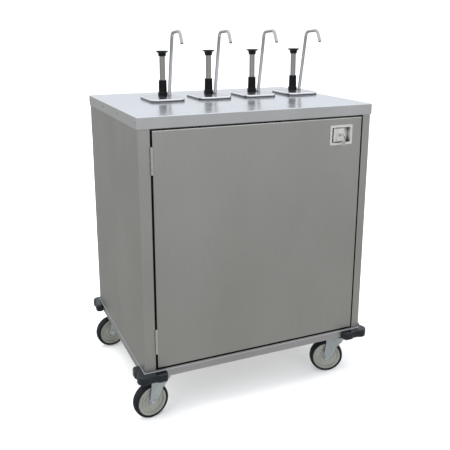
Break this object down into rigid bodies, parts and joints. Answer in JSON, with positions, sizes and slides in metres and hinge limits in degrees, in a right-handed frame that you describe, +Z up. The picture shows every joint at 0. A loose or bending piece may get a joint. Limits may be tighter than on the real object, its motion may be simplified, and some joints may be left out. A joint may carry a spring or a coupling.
{
  "type": "condiment pump cart",
  "caption": "Mobile stainless cabinet on swivel casters, with a hinged door, corner bumpers and a row of hand pumps standing in jars hung through its deck.",
  "frame": {"origin": "on the floor, under the middle of the cart's outline", "axes": "+X to the right seen from the front, +Y to the back, +Z up; the door faces -Y"},
  "size_m": [0.9374, 0.712, 1.3038],
  "materials": {
    "deck_steel": "satin stainless sheet, brushed along its length",
    "panel_steel": "satin stainless sheet, brushed upright",
    "rail_steel": "satin stainless",
    "lid_steel": "satin stainless with a bright rim",
    "jar_steel": "satin stainless, deep drawn",
    "tube_steel": "satin stainless tube",
    "bright_steel": "polished stainless",
    "latch_steel": "satin chrome",
    "zinc": "zinc plate",
    "spring_steel": "spring wire",
    "hub_plastic": "warm grey moulded plastic",
    "tyre_rubber": "dark grey rubber",
    "bumper_rubber": "dark slate moulded rubber",
    "black_plastic": "black moulded plastic"
  },
  "bodies": {
    "cabinet": {"deck_top": "deck_steel", "cabinet_wrap": "panel_steel", "front_frame": "panel_steel", "bottom_pan": "panel_steel", "base_frame": "rail_steel", "corner_bumpers": "bumper_rubber", "deck_rivets": "bright_steel", "caster_plates": "zinc", "hinge_frame_leaves": "bright_steel"},
    "door": {"door_shell": "panel_steel", "door_liner": "panel_steel", "door_hinge_leaves": "bright_steel", "latch_bezel": "latch_steel"},
    "paddle": {"latch_paddle": "latch_steel"},
    "key": {"lock_key": "bright_steel"},
    "bolt": {"latch_bolt": "zinc"},
    "jar_1": {"fountain_jar_1": "jar_steel"},
    "pump_1": {"pump_lid_1": "lid_steel", "pump_collar_1": "black_plastic", "pump_cylinder_1": "jar_steel", "discharge_tube_1": "tube_steel", "pump_spring_1": "spring_steel"},
    "plunger_1": {"pump_knob_1": "black_plastic", "pump_plunger_1": "bright_steel"},
    "jar_2": {"fountain_jar_2": "jar_steel"},
    "pump_2": {"pump_lid_2": "lid_steel", "pump_collar_2": "black_plastic", "pump_cylinder_2": "jar_steel", "discharge_tube_2": "tube_steel", "pump_spring_2": "spring_steel"},
    "plunger_2": {"pump_knob_2": "black_plastic", "pump_plunger_2": "bright_steel"},
    "jar_3": {"fountain_jar_3": "jar_steel"},
    "pump_3": {"pump_lid_3": "lid_steel", "pump_collar_3": "black_plastic", "pump_cylinder_3": "jar_steel", "discharge_tube_3": "tube_steel", "pump_spring_3": "spring_steel"},
    "plunger_3": {"pump_knob_3": "black_plastic", "pump_plunger_3": "bright_steel"},
    "jar_4": {"fountain_jar_4": "jar_steel"},
    "pump_4": {"pump_lid_4": "lid_steel", "pump_collar_4": "black_plastic", "pump_cylinder_4": "jar_steel", "discharge_tube_4": "tube_steel", "pump_spring_4": "spring_steel"},
    "plunger_4": {"pump_knob_4": "black_plastic", "pump_plunger_4": "bright_steel"},
    "swivel_front_left": {"caster_fork_front_left": "zinc"},
    "wheel_front_left": {"wheel_hub_front_left": "hub_plastic", "wheel_tyre_front_left": "tyre_rubber"},
    "swivel_front_right": {"caster_fork_front_right": "zinc"},
    "wheel_front_right": {"wheel_hub_front_right": "hub_plastic", "wheel_tyre_front_right": "tyre_rubber"},
    "swivel_rear_left": {"caster_fork_rear_left": "zinc"},
    "wheel_rear_left": {"wheel_hub_rear_left": "hub_plastic", "wheel_tyre_rear_left": "tyre_rubber"},
    "swivel_rear_right": {"caster_fork_rear_right": "zinc"},
    "wheel_rear_right": {"wheel_hub_rear_right": "hub_plastic", "wheel_tyre_rear_right": "tyre_rubber"}
  },
  "joints": [
    {"name": "door_hinge", "type": "hinge", "parent": "cabinet", "child": "door", "pos_m": [-0.386, -0.332, 0.6], "axis": [0, 0, -1], "range_deg": [0, 120]},
    {"name": "paddle_pull", "type": "hinge", "parent": "door", "child": "paddle", "pos_m": [0.281, -0.3245, 0.9455], "axis": [0, 0, -1], "range_deg": [0, 40], "stiffness_Nm_per_rad": 0.6, "springref_deg": -20.05},
    {"name": "key_turn", "type": "hinge", "parent": "paddle", "child": "key", "pos_m": [0.306, -0.33, 0.9455], "axis": [0, 1, 0], "range_deg": [0, 90]},
    {"name": "bolt_throw", "type": "slide", "parent": "door", "child": "bolt", "axis": [1, 0, 0], "range_m": [0, 0.012]},
    {"name": "jar_lift_1", "type": "slide", "parent": "cabinet", "child": "jar_1", "axis": [0, 0, 1], "range_m": [0, 0.23]},
    {"name": "jar_lift_2", "type": "slide", "parent": "cabinet", "child": "jar_2", "axis": [0, 0, 1], "range_m": [0, 0.23]},
    {"name": "jar_lift_3", "type": "slide", "parent": "cabinet", "child": "jar_3", "axis": [0, 0, 1], "range_m": [0, 0.23]},
    {"name": "jar_lift_4", "type": "slide", "parent": "cabinet", "child": "jar_4", "axis": [0, 0, 1], "range_m": [0, 0.23]},
    {"name": "pump_lift_1", "type": "slide", "parent": "jar_1", "child": "pump_1", "axis": [0, 0, 1], "range_m": [0, 0.22]},
    {"name": "pump_lift_2", "type": "slide", "parent": "jar_2", "child": "pump_2", "axis": [0, 0, 1], "range_m": [0, 0.22]},
    {"name": "pump_lift_3", "type": "slide", "parent": "jar_3", "child": "pump_3", "axis": [0, 0, 1], "range_m": [0, 0.22]},
    {"name": "pump_lift_4", "type": "slide", "parent": "jar_4", "child": "pump_4", "axis": [0, 0, 1], "range_m": [0, 0.22]},
    {"name": "pump_stroke_1", "type": "slide", "parent": "pump_1", "child": "plunger_1", "axis": [0, 0, -1], "range_m": [0, 0.045], "stiffness_N_per_m": 400, "springref_m": -0.03, "deforming": ["pump_spring_1"]},
    {"name": "pump_stroke_2", "type": "slide", "parent": "pump_2", "child": "plunger_2", "axis": [0, 0, -1], "range_m": [0, 0.045], "stiffness_N_per_m": 400, "springref_m": -0.03, "deforming": ["pump_spring_2"]},
    {"name": "pump_stroke_3", "type": "slide", "parent": "pump_3", "child": "plunger_3", "axis": [0, 0, -1], "range_m": [0, 0.045], "stiffness_N_per_m": 400, "springref_m": -0.03, "deforming": ["pump_spring_3"]},
    {"name": "pump_stroke_4", "type": "slide", "parent": "pump_4", "child": "plunger_4", "axis": [0, 0, -1], "range_m": [0, 0.045], "stiffness_N_per_m": 400, "springref_m": -0.03, "deforming": ["pump_spring_4"]},
    {"name": "swivel_turn_front_left", "type": "hinge", "parent": "cabinet", "child": "swivel_front_left", "pos_m": [-0.361, -0.292, 0.15], "axis": [0, 0, 1], "continuous": true},
    {"name": "swivel_turn_front_right", "type": "hinge", "parent": "cabinet", "child": "swivel_front_right", "pos_m": [0.361, -0.292, 0.15], "axis": [0, 0, 1], "continuous": true},
    {"name": "swivel_turn_rear_left", "type": "hinge", "parent": "cabinet", "child": "swivel_rear_left", "pos_m": [-0.361, 0.262, 0.15], "axis": [0, 0, 1], "continuous": true},
    {"name": "swivel_turn_rear_right", "type": "hinge", "parent": "cabinet", "child": "swivel_rear_right", "pos_m": [0.361, 0.262, 0.15], "axis": [0, 0, 1], "continuous": true},
    {"name": "wheel_spin_front_left", "type": "hinge", "parent": "swivel_front_left", "child": "wheel_front_left", "pos_m": [-0.40335, -0.29947, 0.0635], "axis": [0.1736, -0.9848, 0], "continuous": true},
    {"name": "wheel_spin_front_right", "type": "hinge", "parent": "swivel_front_right", "child": "wheel_front_right", "pos_m": [0.32059, -0.27729, 0.0635], "axis": [-0.342, -0.9397, 0], "continuous": true},
    {"name": "wheel_spin_rear_left", "type": "hinge", "parent": "swivel_rear_left", "child": "wheel_rear_left", "pos_m": [-0.40358, 0.25602, 0.0635], "axis": [0.1392, -0.9903, 0], "continuous": true},
    {"name": "wheel_spin_rear_right", "type": "hinge", "parent": "swivel_rear_right", "child": "wheel_rear_right", "pos_m": [0.40335, 0.25453, 0.0635], "axis": [0.1736, 0.9848, 0], "continuous": true}
  ],
  "couplings": [
    {"joint": "key_turn", "follows": "bolt_throw", "rad_per_m": 130}
  ]
}
